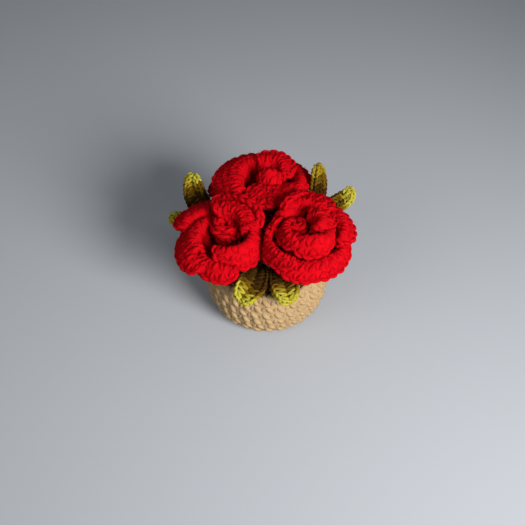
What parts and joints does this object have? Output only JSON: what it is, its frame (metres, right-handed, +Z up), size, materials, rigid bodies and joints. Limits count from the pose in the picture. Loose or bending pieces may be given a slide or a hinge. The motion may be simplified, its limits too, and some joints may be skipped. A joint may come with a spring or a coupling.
{
  "type": "crocheted rose bush in a pot",
  "caption": "Small artificial rose bush, crocheted from thick yarn: red roses and short green leaves packed on top of a round, stuffed beige pot with a flat underside.",
  "frame": {"origin": "centre of the pot's flat underside, where it stands on a table", "axes": "+Z up out of the pot, -Y towards the pair of front leaves, +X to the right when seen from the front"},
  "size_m": [0.0815, 0.0767, 0.0568],
  "materials": {
    "pot_yarn": "beige twisted yarn, slightly fuzzy, matte",
    "rose_yarn": "red twisted yarn, slightly fuzzy, matte",
    "leaf_yarn": "olive green twisted yarn, slightly fuzzy, matte",
    "stem_yarn": "dark olive twisted yarn, matte"
  },
  "bodies": {
    "root": {"pot": "pot_yarn", "rose_left": "rose_yarn", "rose_right": "rose_yarn", "rose_back": "rose_yarn", "stem_left": "stem_yarn", "stem_right": "stem_yarn", "stem_back": "stem_yarn", "leaf_front_left": "leaf_yarn", "leaf_front_right": "leaf_yarn", "leaf_back_left_upper": "leaf_yarn", "leaf_back_left_lower": "leaf_yarn", "leaf_back_right_upper": "leaf_yarn", "leaf_back_right_lower": "leaf_yarn"}
  },
  "joints": []
}
